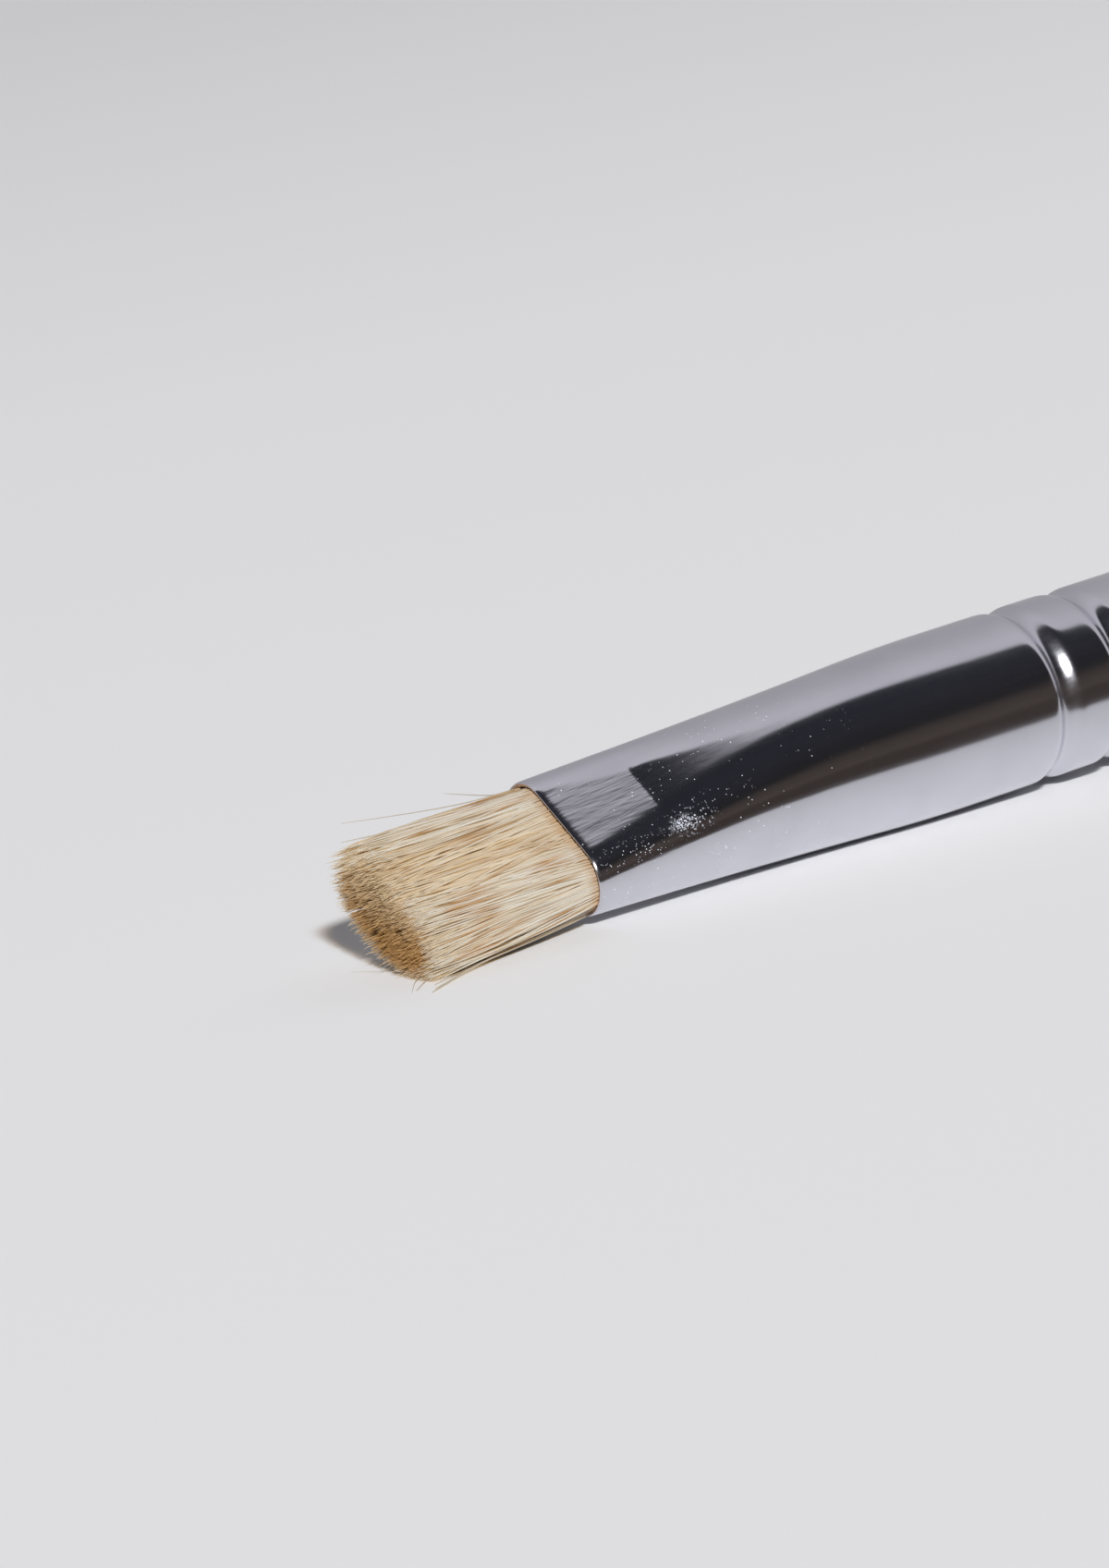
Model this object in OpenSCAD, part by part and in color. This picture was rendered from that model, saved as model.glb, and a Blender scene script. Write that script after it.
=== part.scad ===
// Flat eyeshadow brush: a pressed metal ferrule, a bound bristle tuft and a turned handle.
// The brush is modelled along X with the ferrule's mouth at zero, then laid on the table as it rests.

/* [Ferrule] */
// Diameter of the round tube
ferrule_d = 8; // [6:0.1:12]
// Length of the ferrule from mouth to handle
ferrule_len = 35; // [31:0.5:42]
// Thickness of the drawn metal
wall = 0.2; // [0.12:0.02:0.3]
// Width across the pressed mouth
mouth_w = 7.2; // [5.4:0.1:9]
// Height across the pressed mouth
mouth_t = 3.4; // [2.6:0.1:4.6]
// Length of the plane faces that the press leaves at the mouth
flat_len = 5; // [2:0.5:8]
// Length of tube behind the pressed part that stays round
tube_len = 13.7; // [13.7:0.1:15]
// Where the straight sides have run out, as a share of the pressed part
side_share = 0.77; // [0.65:0.01:0.85]

/* [Crimps] */
// Grooves rolled into the ferrule over the tenon
crimp_count = 2; // [1:1:2]
// Distance from the middle of the first groove to the handle
crimp_back = 9.5; // [8.5:0.1:10.5]
// Distance between the middles of two grooves
crimp_pitch = 3.4; // [2.6:0.1:4]
// Width of a groove
crimp_w = 1.8; // [1:0.1:2.4]
// Depth of a groove
crimp_depth = 0.18; // [0.08:0.02:0.3]

/* [Bristles] */
// Length of bristle that stands out of the mouth
tuft_len = 9.3; // [6:0.1:16]
// Width across the tips
tip_w = 7.4; // [6:0.1:10]
// Height across the tips
tip_t = 3.4; // [2.6:0.1:5]
// Difference in length between neighbouring bristles
ragged = 0.55; // [0.1:0.05:1]
// How much shorter the outermost bristles are
crown = 0.45; // [0:0.05:0.8]
// Bristles across the width
bristle_columns = 28; // [22:1:32]
// Bristles across the height
bristle_rows = 14; // [12:1:15]
// Depth inside the mouth at which the bristles part
part_depth = 0.5; // [0.3:0.1:1]

/* [Root bundle] */
// Length of the bundle inside the ferrule
bundle_len = 12.5; // [11.5:0.1:13.5]
// Width of the bound roots
root_w = 5.2; // [4.6:0.1:5.4]
// Height of the bound roots
root_t = 4.4; // [3.8:0.1:4.6]
// Diameter of the binding thread
thread_d = 0.35; // [0.2:0.05:0.35]
// Turns of thread
thread_turns = 5; // [3:1:6]
// Distance from the mouth to the first turn
tie_start = 10; // [9.8:0.1:10.4]

/* [Resin and glue] */
// Distance from the mouth to the front of the resin
plug_start = 9.4; // [9.2:0.1:9.8]
// Distance from the back of the resin to the tenon
plug_back = 2; // [1.5:0.1:6]
// Thickness of the glue between tenon and ferrule
glue_t = 0.14; // [0.08:0.02:0.2]
// Thickness of the glue in front of the tenon
glue_front = 0.8; // [0.4:0.1:1]

/* [Handle] */
// Length of the handle that shows
handle_len = 112; // [90:1:150]
// Diameter at the shoulder against the ferrule
shoulder_d = 8.2; // [8:0.1:9]
// Largest diameter of the belly
belly_d = 11.4; // [9.4:0.1:13]
// Distance from the shoulder to the belly
belly_reach = 31; // [20:1:40]
// Diameter of the straight end
tail_d = 4.8; // [4:0.1:6]
// Length of the straight end
tail_len = 8; // [5:0.5:12]
// Length of the tenon in the ferrule
tenon_len = 13; // [12:0.1:13.2]
// Length of the tenon's front chamfer
tenon_chamfer = 0.6; // [0.2:0.1:1]

/* [Rest] */
// Roll of the brush, near edge down, so that a corner of the tuft is by the table
lie_roll = 36.6; // [0:0.2:40]
// Slope of the brush, mouth down, from the belly to the ferrule
lie_pitch = 2.2; // [0:0.1:4]

/* [Hidden] */
$fn = 96;
// Gap at each face where a cast or pushed-in piece meets its seat
seat_gap = 0.02;
// Gap between the bristle bundle and the metal
bristle_gap = 0.03;
// Seam between the ferrule's end and the handle's shoulder
seam_gap = 0.05;
// How far the pressed part of the ferrule runs into the wall of the round part
lap = 0.25;
// How far inside the round wall's faces that run stays
lap_skin = 0.02;
// Overrun of a cut
overrun = 0.1;
// Faces round a pressed section
section_sides = 48;
// Rings along the plane faces and along the eased part
flat_steps = 2;
ease_steps = 12;
// Rings along the bundle inside the ferrule
bundle_steps = 4;
// Spread of the bristle rows over the rounded sides, in degrees
row_spread = 75;
// Thickness of a bristle at mid length and at its tip, as shares of its root
mid_thin_share = 0.66;
tip_thin_share = 0.4;
// Where a bristle's middle ring lies along it, and how far a tip may lean, as shares of a cell
mid_ring_share = 0.55;
lean_share = 0.35;
// Points along a crimp groove and along each sweep of the handle
crimp_points = 8;
sweep_points = 22;
// Valleys between the turns of thread, as a share of the thread
valley_share = 0.5;

ferrule_r = ferrule_d / 2;
bore_r = ferrule_r - wall;
mouth_side = mouth_w - mouth_t;
root_side = root_w - root_t;
glue_r = bore_r - seat_gap;
tenon_r = glue_r - glue_t - seat_gap;
round_len = ferrule_len - tube_len;
side_len = round_len * side_share;
tenon_start = ferrule_len - tenon_len;
plug_end = tenon_start - plug_back;
tail_end = ferrule_len + handle_len;
tail_r = tail_d / 2;
tail_start = tail_end - tail_r - tail_len;
belly_x = ferrule_len + belly_reach;
crimp_places = [for (i = [0 : crimp_count - 1]) ferrule_len - crimp_back + i * crimp_pitch];

// Goes evenly from one size at the mouth, then eases into the other at the end of its run.
function eased(start, end, run, x) =
    let (slope = 2 * (end - start) / (run + flat_len))
    x < flat_len ? start + slope * x
    : x < run ? end - slope * (run - x) * (run - x) / (2 * (run - flat_len))
    : end;

// Height and straight side of the pressed tube at a distance from the mouth
function height_at(x) = eased(mouth_t, ferrule_d, round_len, x);
function side_at(x) = eased(mouth_side, 0, side_len, x);

// Point at a share of the way round a section with two straight sides and two round ends
function section_point(side, r, share) =
    let (arc = PI * r, way = share * 2 * (side + arc), turn = 180 / arc)
    way < side / 2 ? [way, r]
    : way < side / 2 + arc ? let (a = 90 - (way - side / 2) * turn) [side / 2 + r * cos(a), r * sin(a)]
    : way < side * 3 / 2 + arc ? [side + arc - way, -r]
    : way < side * 3 / 2 + 2 * arc ? let (a = 270 - (way - side * 3 / 2 - arc) * turn) [r * cos(a) - side / 2, r * sin(a)]
    : [way - 2 * (side + arc), r];

// One closed ring of the section, standing across the brush at x
function section_ring(x, side, r) =
    [for (i = [0 : section_sides - 1]) let (p = section_point(side, r, i / section_sides)) [x, p[0], p[1]]];

// Triangles between neighbouring rings, and back to the first ring if closed
function ring_faces(rings, sides, closed) =
    [for (k = [0 : rings - (closed ? 1 : 2)], i = [0 : sides - 1])
        let (a = k * sides, b = (k + 1) % rings * sides, j = (i + 1) % sides)
        each [[a + i, a + j, b + i], [a + j, b + j, b + i]]];

// Solid whose sections are the rings, closed by a flat face at each end
module ring_solid(rings) {
    sides = len(rings[0]);
    last = (len(rings) - 1) * sides;
    polyhedron(
        [for (ring = rings) each ring],
        concat(
            ring_faces(len(rings), sides, false),
            [for (i = [1 : sides - 2]) [0, i + 1, i]],
            [for (i = [1 : sides - 2]) [last, last + i, last + i + 1]]
        ),
        convexity = 4
    );
}

// Turned solid along X from an outline of [distance along X, radius]
module turned(outline) rotate([90, 0, 90]) rotate_extrude() polygon([for (p = outline) [p[1], p[0]]]);

// Flat shape with two straight sides and two round ends
module oblong(w, t) {
    square([w - t, t], center = true);
    for (end = [-1, 1]) translate([end * (w - t) / 2, 0]) circle(d = t);
}

// Oblong bar along X
module oblong_bar(x, length, w, t) translate([x, 0, 0]) rotate([90, 0, 90]) linear_extrude(length) oblong(w, t);

// How deep the crimp grooves lie at a distance from the mouth
function crimp_dip(x) =
    max([for (c = crimp_places) abs(x - c) < crimp_w / 2 ? crimp_depth * (1 + cos(360 * (x - c) / crimp_w)) / 2 : 0]);

// Distances along the crimped tube at which an outline has a point, from one end to the other
function crimp_stations(start, end) =
    concat([start], [for (c = crimp_places, i = [0 : crimp_points]) c + crimp_w * (i / crimp_points - 1 / 2)], [end]);

// Outline of the crimped tube's wall at a radius
function crimped(start, end, r) = [for (x = crimp_stations(start, end)) [x, r - crimp_dip(x)]];

// List in the other order
function reversed(list) = [for (i = [len(list) - 1 : -1 : 0]) list[i]];

// Distances from the mouth of the pressed part's rings
press_stations = concat(
    [for (i = [0 : flat_steps - 1]) flat_len * i / flat_steps],
    [for (i = [0 : ease_steps - 1]) flat_len + (round_len - flat_len) * i / ease_steps]
);

module ferrule() color([0.78, 0.78, 0.81]) {
    outer = [for (x = press_stations) section_ring(x, side_at(x), height_at(x) / 2)];
    inner = [for (x = press_stations) section_ring(x, side_at(x), height_at(x) / 2 - wall)];
    lap_outer = [for (x = [round_len, round_len + lap]) section_ring(x, 0, ferrule_r - lap_skin)];
    lap_inner = [for (x = [round_len, round_len + lap]) section_ring(x, 0, bore_r + lap_skin)];
    rings = concat(outer, lap_outer, reversed(concat(inner, lap_inner)));
    union() {
        polyhedron([for (ring = rings) each ring], ring_faces(len(rings), section_sides, true), convexity = 6);
        turned(concat(
            crimped(round_len, ferrule_len, ferrule_r),
            reversed(crimped(round_len, ferrule_len, bore_r))
        ));
    }
}

// Place of a bristle across the bundle, from -1 to 1 each way
function bundle_point(side, r, u, v) =
    let (rise = sin(row_spread * v) / sin(row_spread))
    [u * (side / 2 + r * sqrt(max(0, 1 - rise * rise))), r * rise];

// Grid of places across the bundle, in columns and rows
function grid_u(i) = 2 * i / bristle_columns - 1;
function grid_v(j) = 2 * j / bristle_rows - 1;
function grid_index(i, j) = j * (bristle_columns + 1) + i;

// The grid's outer edge as [column, row], once round
bundle_edge = concat(
    [for (i = [0 : bristle_columns - 1]) [i, 0]],
    [for (j = [0 : bristle_rows - 1]) [bristle_columns, j]],
    [for (i = [bristle_columns : -1 : 1]) [i, bristle_rows]],
    [for (j = [bristle_rows : -1 : 1]) [0, j]]
);

// Corners of a cell's bristle, and of the bare half beside it. The halves swap in every other cell.
function bristle_corners(i, j) =
    (i + j) % 2 == 0 ? [[i, j], [i + 1, j], [i + 1, j + 1]] : [[i, j], [i + 1, j], [i, j + 1]];
function bare_corners(i, j) =
    (i + j) % 2 == 0 ? [[i, j], [i + 1, j + 1], [i, j + 1]] : [[i + 1, j], [i + 1, j + 1], [i, j + 1]];

// Number of a corner's point in the parted face, and of a point in a ring of the bundle behind it
function corner_index(c) = grid_index(c[0], c[1]);
function back_index(first, k, n) =
    let (m = n % len(bundle_edge))
    k == 0 ? corner_index(bundle_edge[m]) : first + (k - 1) * len(bundle_edge) + m;

module bristle_tuft() color([0.90, 0.82, 0.66]) {
    face_r = mouth_t / 2 - wall - bristle_gap;
    reach = tuft_len + part_depth;
    spread_w = tip_w / (mouth_side + 2 * face_r);
    spread_t = tip_t / (2 * face_r);
    cell = (mouth_side + 2 * face_r) / bristle_columns;
    cells = [for (j = [0 : bristle_rows - 1], i = [0 : bristle_columns - 1]) [i, j]];
    chance = rands(-1, 1, 3 * len(cells), 7);

    face_points = [for (j = [0 : bristle_rows], i = [0 : bristle_columns])
        let (p = bundle_point(mouth_side, face_r, grid_u(i), grid_v(j))) [part_depth, p[0], p[1]]];

    // Two rings of three points for each bristle, over the middle of its own corners
    bristle_points = [for (k = [0 : len(cells) - 1])
        let (
            corners = [for (c = bristle_corners(cells[k][0], cells[k][1])) face_points[grid_index(c[0], c[1])]],
            middle = (corners[0] + corners[1] + corners[2]) / 3,
            out = pow(max(abs(grid_u(cells[k][0] + 1 / 2)), abs(grid_v(cells[k][1] + 1 / 2))), 2),
            length = reach - crown * out - ragged * (1 + chance[3 * k]) / 2
        )
        for (ring = [[mid_ring_share, mid_thin_share], [1, tip_thin_share]], corner = corners)
            let (
                share = ring[0],
                lean = cell * lean_share * share * share,
                y = middle[1] * (1 + (spread_w - 1) * share) + lean * chance[3 * k + 1],
                z = middle[2] * (1 + (spread_t - 1) * share) + lean * chance[3 * k + 2]
            )
            [
                part_depth - length * share,
                y + (corner[1] - middle[1]) * ring[1],
                z + (corner[2] - middle[2]) * ring[1]
            ]];

    // The bundle behind the parted bristles, drawn in to the bound roots
    back_points = [for (k = [1 : bundle_steps + 1], e = bundle_edge)
        let (
            share = min(1, k / bundle_steps),
            x = k > bundle_steps ? bundle_len : part_depth + (plug_start - part_depth) * share,
            side = mouth_side + (root_side - mouth_side) * share,
            r = face_r + (root_t / 2 - face_r) * share,
            p = bundle_point(side, r, grid_u(e[0]), grid_v(e[1]))
        )
        [x, p[0], p[1]]];

    first_bristle = len(face_points);
    first_back = first_bristle + len(bristle_points);
    edge_count = len(bundle_edge);
    centre = first_back + len(back_points);

    bare_faces = [for (c = cells) [for (p = bare_corners(c[0], c[1])) corner_index(p)]];
    bristle_faces = [for (k = [0 : len(cells) - 1])
        let (
            root = [for (p = bristle_corners(cells[k][0], cells[k][1])) corner_index(p)],
            mid = [for (n = [0 : 2]) first_bristle + 6 * k + n],
            tip = [for (n = [3 : 5]) first_bristle + 6 * k + n]
        )
        each concat(
            [for (pair = [[root, mid], [mid, tip]], n = [0 : 2]) let (m = (n + 1) % 3)
                each [[pair[0][n], pair[0][m], pair[1][n]], [pair[0][m], pair[1][m], pair[1][n]]]],
            [tip]
        )];
    back_faces = [for (k = [0 : bundle_steps], n = [0 : edge_count - 1])
        let (
            front = [for (m = [n, n + 1]) back_index(first_back, k, m)],
            back = [for (m = [n, n + 1]) back_index(first_back, k + 1, m)]
        )
        each [[front[0], back[0], front[1]], [front[1], back[0], back[1]]]];
    end_faces = [for (n = [0 : edge_count - 1]) [
        back_index(first_back, bundle_steps + 1, n),
        centre,
        back_index(first_back, bundle_steps + 1, n + 1)
    ]];

    polyhedron(
        concat(face_points, bristle_points, back_points, [[bundle_len, 0, 0]]),
        concat(bare_faces, bristle_faces, back_faces, end_faces),
        convexity = 20
    );
}

module root_tie() color([0.85, 0.80, 0.72]) {
    valley = 2 * thread_d * valley_share;
    difference() {
        union() {
            oblong_bar(tie_start, thread_d * thread_turns, root_w + valley, root_t + valley);
            for (turn = [0 : thread_turns - 1])
                oblong_bar(
                    tie_start + thread_d * (turn + (1 - valley_share) / 2), thread_d * valley_share,
                    root_w + 2 * thread_d, root_t + 2 * thread_d
                );
        }
        oblong_bar(
            tie_start - overrun, thread_d * thread_turns + 2 * overrun,
            root_w + 2 * seat_gap, root_t + 2 * seat_gap
        );
    }
}

module epoxy_plug() color([0.80, 0.68, 0.40]) {
    steps = 8;
    pocket_grow = 2 * (thread_d + seat_gap);
    difference() {
        ring_solid([for (i = [0 : steps])
            let (x = plug_start + (plug_end - plug_start) * i / steps)
            section_ring(x, side_at(x), height_at(x) / 2 - wall - seat_gap)]);
        oblong_bar(
            plug_start - overrun, bundle_len - plug_start + overrun + seat_gap,
            root_w + pocket_grow, root_t + pocket_grow
        );
    }
}

module glue_sleeve() color([0.93, 0.88, 0.74])
    turned(concat(
        [[tenon_start - seat_gap - glue_front, 0]],
        crimped(tenon_start - seat_gap - glue_front, ferrule_len - seam_gap, glue_r),
        reversed(crimped(tenon_start - seat_gap, ferrule_len - seam_gap, glue_r - glue_t)),
        [[tenon_start - seat_gap, 0]]
    ));

// Radius of the handle between the shoulder and the belly, and between the belly and the tail
function shoulder_sweep(share) = shoulder_d / 2 + (belly_d - shoulder_d) / 2 * (1 - cos(180 * share)) / 2;
function tail_sweep(share) = tail_r + (belly_d / 2 - tail_r) * (1 + cos(180 * share)) / 2;

module handle() color([0.10, 0.10, 0.11])
    turned(concat(
        [[tenon_start, 0], [tenon_start, tenon_r - tenon_chamfer]],
        crimped(tenon_start + tenon_chamfer, ferrule_len + seam_gap, tenon_r),
        [for (i = [0 : sweep_points]) [
            ferrule_len + seam_gap + (belly_reach - seam_gap) * i / sweep_points,
            shoulder_sweep(i / sweep_points)
        ]],
        [for (i = [1 : 2 * sweep_points]) [
            belly_x + (tail_start - belly_x) * i / (2 * sweep_points),
            tail_sweep(i / (2 * sweep_points))
        ]],
        [for (i = [0 : crimp_points - 1]) [
            tail_start + tail_len + tail_r * sin(90 * i / crimp_points),
            tail_r * cos(90 * i / crimp_points)
        ]],
        [[tail_end, 0]]
    ));

// How far the brush reaches below its own axis, as [distance from the mouth, depth]
roll_side = sin(lie_roll) / 2;
depths = concat(
    [[-tuft_len, tip_t / 2 + (tip_w - tip_t) * roll_side]],
    [for (x = concat(press_stations, [round_len, ferrule_len])) [x, height_at(x) / 2 + side_at(x) * roll_side]],
    [for (i = [0 : sweep_points]) [ferrule_len + belly_reach * i / sweep_points, shoulder_sweep(i / sweep_points)]],
    [for (i = [0 : sweep_points]) [belly_x + (tail_start - belly_x) * i / sweep_points, tail_sweep(i / sweep_points)]]
);
lift = max([for (d = depths) d[1] * cos(lie_pitch) - d[0] * sin(lie_pitch)]);

// Lays the brush on the table, with its middle over the origin
module laid() {
    translate([-(tail_end - tuft_len) / 2, 0, lift]) rotate([0, -lie_pitch, 0]) rotate([lie_roll, 0, 0]) children();
}

laid() ferrule();
laid() bristle_tuft();
laid() root_tie();
laid() epoxy_plug();
laid() glue_sleeve();
laid() handle();
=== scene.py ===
"""Flat eyeshadow brush on a pale table.

A pressed chrome ferrule holds bound natural bristle on a black lacquered handle. Lengths are in
millimetres in the brush's own frame, where X runs from the ferrule's mouth to the handle's end.
LAY puts them on the table in metres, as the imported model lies.
"""

import math

import bmesh
import bpy
import numpy as np
from mathutils import Euler, Matrix, Vector


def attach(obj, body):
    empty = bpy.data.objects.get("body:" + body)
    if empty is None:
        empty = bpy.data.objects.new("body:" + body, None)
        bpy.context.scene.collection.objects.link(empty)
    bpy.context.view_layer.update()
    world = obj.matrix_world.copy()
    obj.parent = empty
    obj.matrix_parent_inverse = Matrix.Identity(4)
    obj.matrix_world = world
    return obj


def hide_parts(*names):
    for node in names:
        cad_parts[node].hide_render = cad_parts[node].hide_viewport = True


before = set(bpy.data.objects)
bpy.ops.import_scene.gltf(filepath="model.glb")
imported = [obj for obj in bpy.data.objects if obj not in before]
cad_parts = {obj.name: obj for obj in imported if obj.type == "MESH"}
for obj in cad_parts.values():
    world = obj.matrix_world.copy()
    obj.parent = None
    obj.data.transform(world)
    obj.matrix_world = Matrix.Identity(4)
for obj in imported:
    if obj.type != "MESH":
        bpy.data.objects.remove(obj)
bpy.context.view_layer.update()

MM = 0.001

# The brush as the CAD lays it: its middle over the origin, its mouth down by the pitch and its
# near edge down by the roll
LIE_SHIFT = Vector((-68.85, 0, 3.25224)) * MM
LIE_TURN = Euler((math.radians(36.6), math.radians(-2.2), 0))
LAY = Matrix.Translation(LIE_SHIFT) @ LIE_TURN.to_matrix().to_4x4() @ Matrix.Scale(MM, 4)
UP = np.array(LIE_TURN.to_matrix().transposed() @ Vector((0, 0, 1)))

# Ferrule: a round tube pressed to a mouth with straight sides and round ends. The sides run out
# before the press does.
FERRULE_R = 4.0
FERRULE_LEN = 35.0
WALL = 0.2
EDGE_ROUND = 0.03
MOUTH_SIDE = 3.8
MOUTH_T = 3.4
FLAT_LEN = 5.0
SIDE_LEN = 16.401
ROUND_LEN = 21.3
CRIMPS = (25.5, 28.9)
CRIMP_W = 1.7
CRIMP_DEPTH = 0.29

# The press leaves its line across both faces: how far from the mouth it is, how deep, how far the
# dent runs out behind it, and between which widths it fades towards the edges
PRESS_LINE = 4.2
PRESS_DEPTH = 0.18
PRESS_RUN_OUT = 2.5
PRESS_FADE = (1.6, 2.75)

# Rings that the ferrule is drawn in: the corners of each, the rolled lip as [distance from the
# mouth, how far it is turned in], and the distances over the pressed end, closest at its line
RING_CORNERS = 104
LIP = ((0.0, 0.06), (0.07, 0.025), (0.18, 0.0))
PRESSED_RINGS = (0.45, 0.8, 1.25, 1.75, 2.3, 2.85, 3.35, 3.75, 3.98, 4.12,
                 4.20, 4.28, 4.42, 4.65, 4.95, 5.3, 5.7, 6.15, 6.6, 7.0)

# Bristles and their binding. A bristle bends from BEND_START inside the mouth on.
TUFT_LEN = 9.3
BUNDLE_LEN = 12.5
BUNDLE_GAP = 0.09
ROOT_SIDE = 0.8
ROOT_R = 2.2
TIE_START = 10.0
BEND_START = 0.6
BRISTLE_COUNT = 4500
LOCK_COUNT = 150
BRISTLE_SIDES = 6
TABLE_CLEARANCE = 0.06

# Handle
HANDLE_LEN = 112.0
SEAM = 0.05
SHOULDER_R = 4.1
SHOULDER_EDGE = 0.08
BELLY_R = 5.7
BELLY_REACH = 31.0
TAIL_R = 2.4
TAIL_LEN = 8.0
TENON_LEN = 13.0
TENON_R = 3.62
TENON_CHAMFER = 0.6

# Roughness of the plating at distances from the mouth. It dulls towards the handle, and most in
# the first rolled groove.
POLISH = ((0, 0.12), (4.0, 0.12), (4.5, 0.08), (7, 0.11), (12, 0.12), (21, 0.15), (24.6, 0.15),
          (25.3, 0.22), (26.4, 0.15), (35, 0.17))

# Dust on the plating, crowded and pale blue where the lamp's glint falls, so partly real dust
# and partly painted glint: the middle of each patch, its reach, how fine its grid of specks is,
# how much of a cell a speck fills, and the share of cells that hold one
DUST_AND_GLINT_PATCHES = (
    ((4.85, -2.3, 1.85), (1.1, 0.55, 0.55), 11.0, 0.60, 0.95),
    ((5.2, -2.25, 1.85), (1.9, 0.8, 0.8), 8.0, 0.40, 0.55),
    ((2.2, -2.65, 1.5), (2.8, 0.8, 0.9), 9.5, 0.28, 0.50),
    ((7.8, -1.8, 2.3), (3.4, 0.6, 0.6), 8.5, 0.26, 0.35),
)
# Pale blue of the specks: the colour of dust, and of a painted glint where the patches crowd
DUST_AND_GLINT_TINT = (0.72, 0.78, 0.90, 1)

# Bristle colours. The gap ochre is painted shade for the gaps between locks, the glow straw is
# painted warm light inside the tuft, and the cut tan is partly the cut ends' own colour and partly
# painted shade
CREAM = (0.66, 0.65, 0.61)
STRAW = (0.61, 0.54, 0.42)
GAP_SHADE_OCHRE = (0.44, 0.235, 0.065)
PAINTED_GLOW_STRAW = (0.64, 0.515, 0.33)
CUT_TAN_AND_SHADE = (0.46, 0.26, 0.08)
LOOSE_GREY = (0.50, 0.46, 0.40)
GAP_SHADE_SPOTS = 320

# Share of the light that goes through a bristle, and share of its shadow that is lost on the
# bristles behind it, outside and inside the tuft
BRISTLE_THROUGH = 0.3
OUTER_SHADOW_LOSS = 0.8
INNER_SHADOW_LOSS = 0.6
SHADOW_TINT = (1.0, 0.91, 0.76, 1)

# The pale sweep fills the part of the room beyond a plane, given by its normal and where it starts
SWEEP_EDGE = (0.244, 0.970, -0.010)
SWEEP_START = -0.002
SWEEP_SOFT = 0.014
# Where the table's near side is painted dark for the metal's reflections only, a painted shade,
# in metres
NEAR_SHADE = (-0.019, -0.003)


# ---------- hand tools ----------


def deselect_all():
    if bpy.context.object and bpy.context.object.mode != "OBJECT":
        bpy.ops.object.mode_set(mode="OBJECT")
    bpy.ops.object.select_all(action="DESELECT")


def take_up(piece):
    """Makes one piece the active and only selected object."""
    deselect_all()
    piece.select_set(True)
    bpy.context.view_layer.objects.active = piece


def apply_modifiers(piece):
    take_up(piece)
    for modifier in list(piece.modifiers):
        bpy.ops.object.modifier_apply(modifier=modifier.name)


def new_piece(name, mesh):
    piece = bpy.data.objects.new(name, mesh)
    bpy.context.scene.collection.objects.link(piece)
    return piece


def finish_piece(piece, name, stands_for):
    """Lays a finished piece on the table and ties it to the frame."""
    piece.name = piece.data.name = name
    piece.data.transform(LAY)
    piece.data.update()
    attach(piece, "root")
    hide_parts(stands_for)


# ---------- materials ----------


class Nodes:
    """Shader nodes of a finish or of the room, added by what they do."""

    def __init__(self, tree):
        self.tree = tree

    def node(self, kind, **settings):
        """Adds a node and sets its own settings and its inputs by name."""
        made = self.tree.nodes.new("ShaderNode" + kind)
        for key, value in settings.items():
            if hasattr(made, key):
                setattr(made, key, value)
            else:
                made.inputs[key.replace("_", " ")].default_value = value
        return made

    def feed(self, value, target):
        """Links an output to an input, or leaves a plain value in it."""
        if isinstance(value, bpy.types.NodeSocket):
            self.tree.links.new(value, target)
        else:
            target.default_value = value

    def axis(self, vector, letter):
        made = self.node("SeparateXYZ")
        self.feed(vector, made.inputs[0])
        return made.outputs[letter]

    def combine(self, operation, one, other):
        made = self.node("Math", operation=operation)
        self.feed(one, made.inputs[0])
        self.feed(other, made.inputs[1])
        return made.outputs[0]

    def times(self, one, other):
        return self.combine("MULTIPLY", one, other)

    def most(self, one, other):
        return self.combine("MAXIMUM", one, other)

    def share(self, value, start, end, kind="LINEAR"):
        """0 up to start and 1 from end on; falls instead where end is the smaller."""
        made = self.node("MapRange", interpolation_type=kind, From_Min=start, From_Max=end)
        self.feed(value, made.inputs["Value"])
        return made.outputs["Result"]

    def soft_share(self, value, start, end):
        return self.share(value, start, end, "SMOOTHSTEP")

    def grey_range(self, value, low, high):
        """Low where the value is 0 and high where it is 1."""
        made = self.node("MapRange", To_Min=low, To_Max=high)
        self.feed(value, made.inputs["Value"])
        return made.outputs["Result"]

    def ramp(self, value, *stops):
        """Colours along a value, each stop a place from 0 to 1 and its tint."""
        made = self.node("ValToRGB")
        elements = made.color_ramp.elements
        while len(elements) < len(stops):
            elements.new(0.5)
        for element, (at, tint) in zip(elements, stops):
            element.position, element.color = at, (*tint, 1)
        self.feed(value, made.inputs[0])
        return made.outputs[0]

    def blend(self, share, one, other, kind="MIX"):
        """Mixes two colours. Each of the three is an output or a plain value."""
        # Its colours are taken by number, because its other sockets have the same names
        made = self.node("Mix", data_type="RGBA", blend_type=kind)
        self.feed(share, made.inputs["Factor"])
        self.feed(one, made.inputs[6])
        self.feed(other, made.inputs[7])
        return made.outputs[2]

    def blend_shaders(self, share, one, other):
        made = self.node("MixShader")
        self.feed(share, made.inputs[0])
        self.feed(one.outputs[0], made.inputs[1])
        self.feed(other.outputs[0], made.inputs[2])
        return made


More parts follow.
